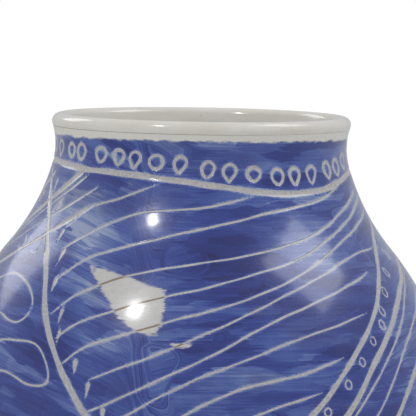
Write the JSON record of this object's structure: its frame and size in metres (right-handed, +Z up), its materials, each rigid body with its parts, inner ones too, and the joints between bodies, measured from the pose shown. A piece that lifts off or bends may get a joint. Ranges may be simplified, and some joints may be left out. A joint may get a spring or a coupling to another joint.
{
  "type": "pottery vase",
  "caption": "Wide-shouldered pottery vase with a short flared neck and rolled lip, blue slip scratched through to pale clay outside and white glaze inside.",
  "frame": {"origin": "centre of the foot ring on the plane that the vase stands on", "axes": "+Z up along the axis that the vase was turned about; the decoration's large leaf panel faces -Y"},
  "size_m": [0.174, 0.174, 0.23],
  "materials": {
    "bare_clay": "bare fired pale stoneware, trimmed while leather hard",
    "blue_slip": "cobalt slip brushed in overlapping strokes, with lines scratched through to the pale clay",
    "clear_glaze": "thin clear gloss glaze",
    "white_glaze": "warm white gloss glaze"
  },
  "bodies": {
    "root": {"foot_ring": "bare_clay", "base_floor": "bare_clay", "lower_wall": "bare_clay", "upper_wall": "bare_clay", "neck_collar": "bare_clay", "lip_roll": "bare_clay", "blue_slip": "blue_slip", "clear_glaze": "clear_glaze", "liner_glaze": "white_glaze"}
  },
  "joints": []
}
